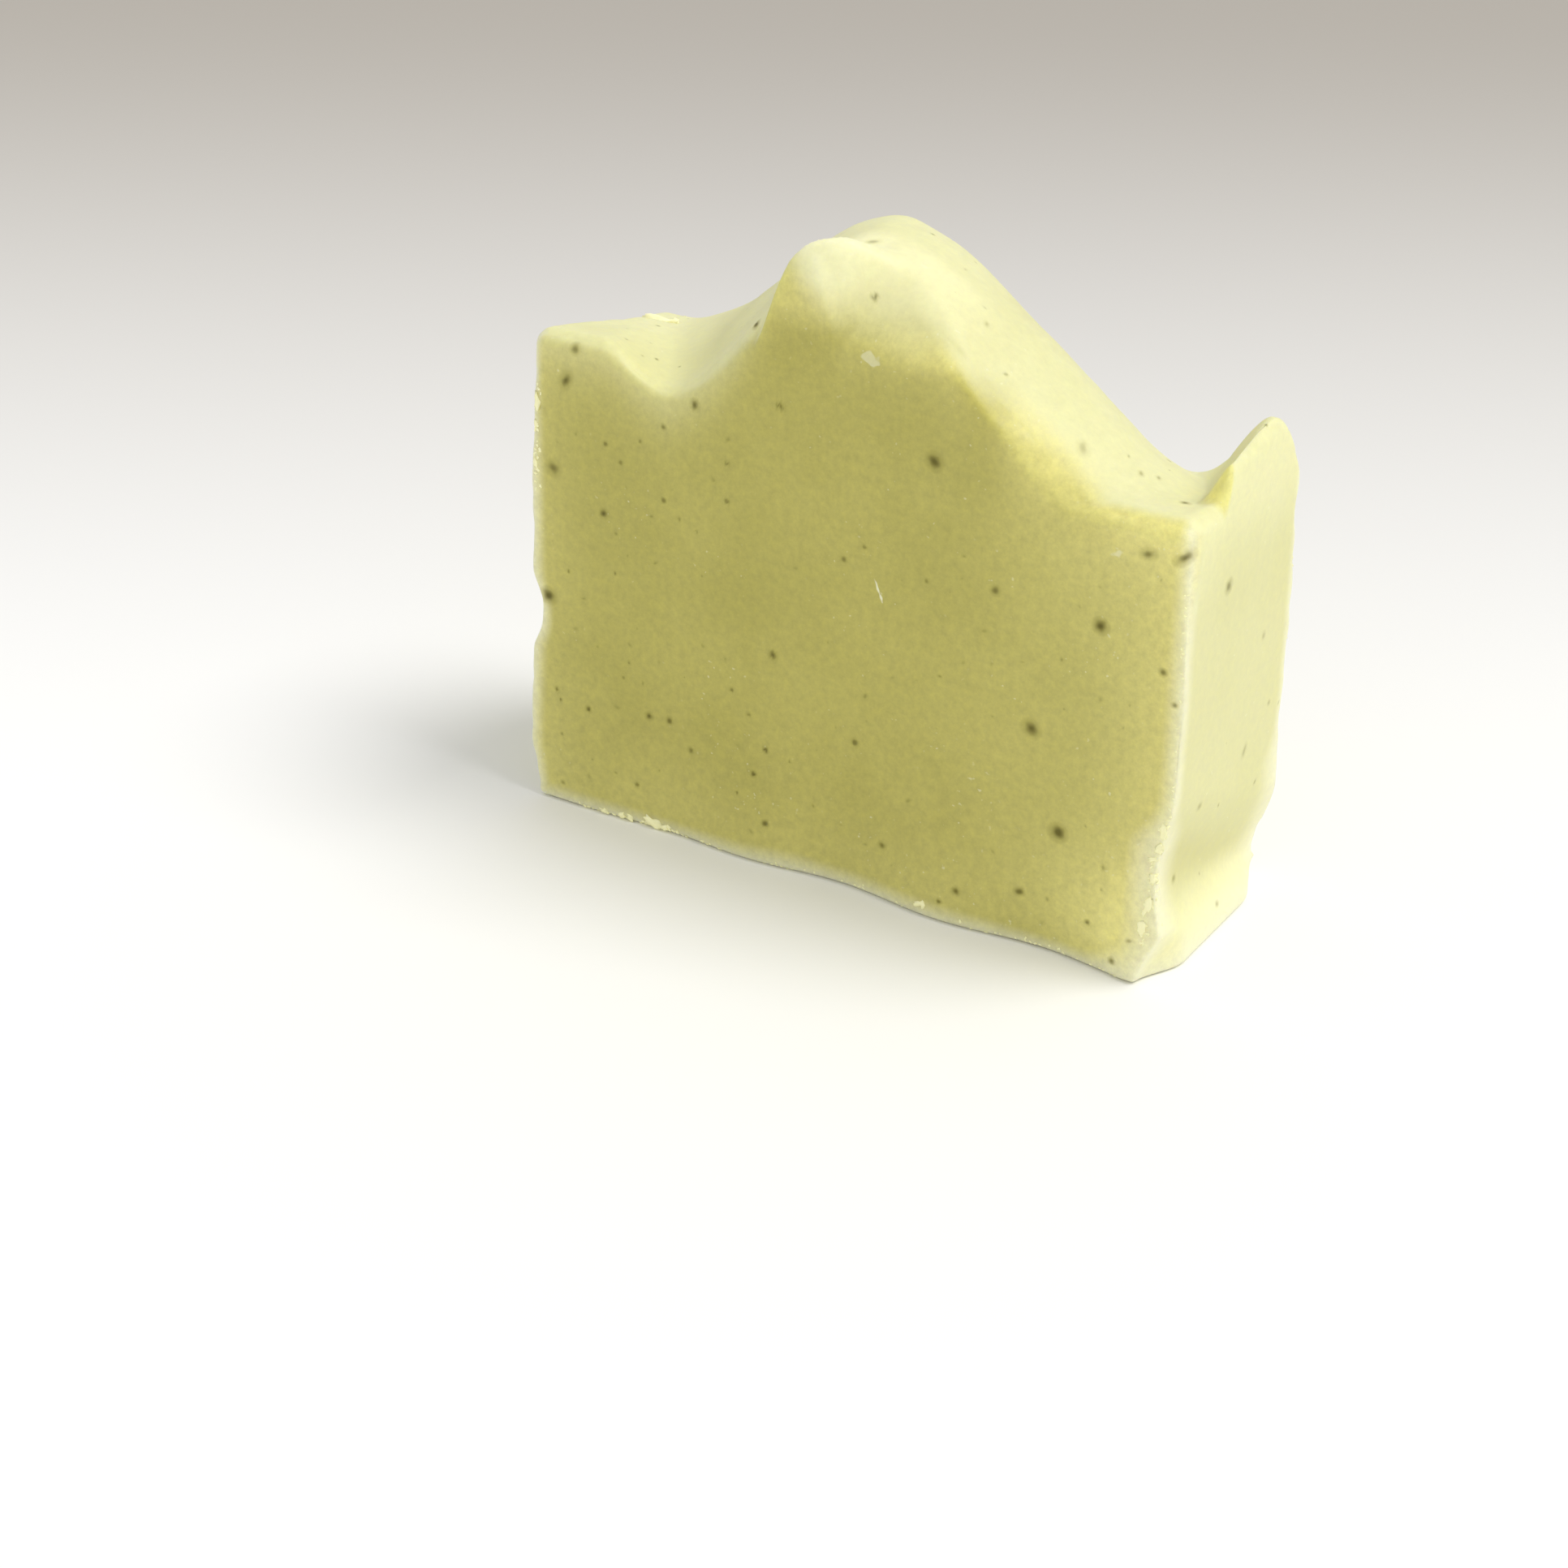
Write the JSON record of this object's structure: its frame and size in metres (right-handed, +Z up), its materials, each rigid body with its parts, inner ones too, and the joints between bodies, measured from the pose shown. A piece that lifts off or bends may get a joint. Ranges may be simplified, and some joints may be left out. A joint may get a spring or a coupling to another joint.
{
  "type": "bar of soap",
  "caption": "Hand-cut slice of poured soap that stands upright, with flat cut faces, softly creased side walls and a hand-textured top of crest, scooped valley and thin curled lip.",
  "frame": {"origin": "centre of the foot, the flat face that the bar stands on, midway between the side walls and midway between the two cuts", "axes": "+X along the width, towards the wall with the lip; +Y through the thickness, from the front cut to the back cut; +Z up from the foot to the crest"},
  "size_m": [0.08, 0.0284, 0.0724],
  "materials": {
    "soap": "satin cured soap, slightly translucent, pale olive yellow with small dark herb flecks"
  },
  "bodies": {
    "root": {"soap_bar": "soap"}
  },
  "joints": []
}
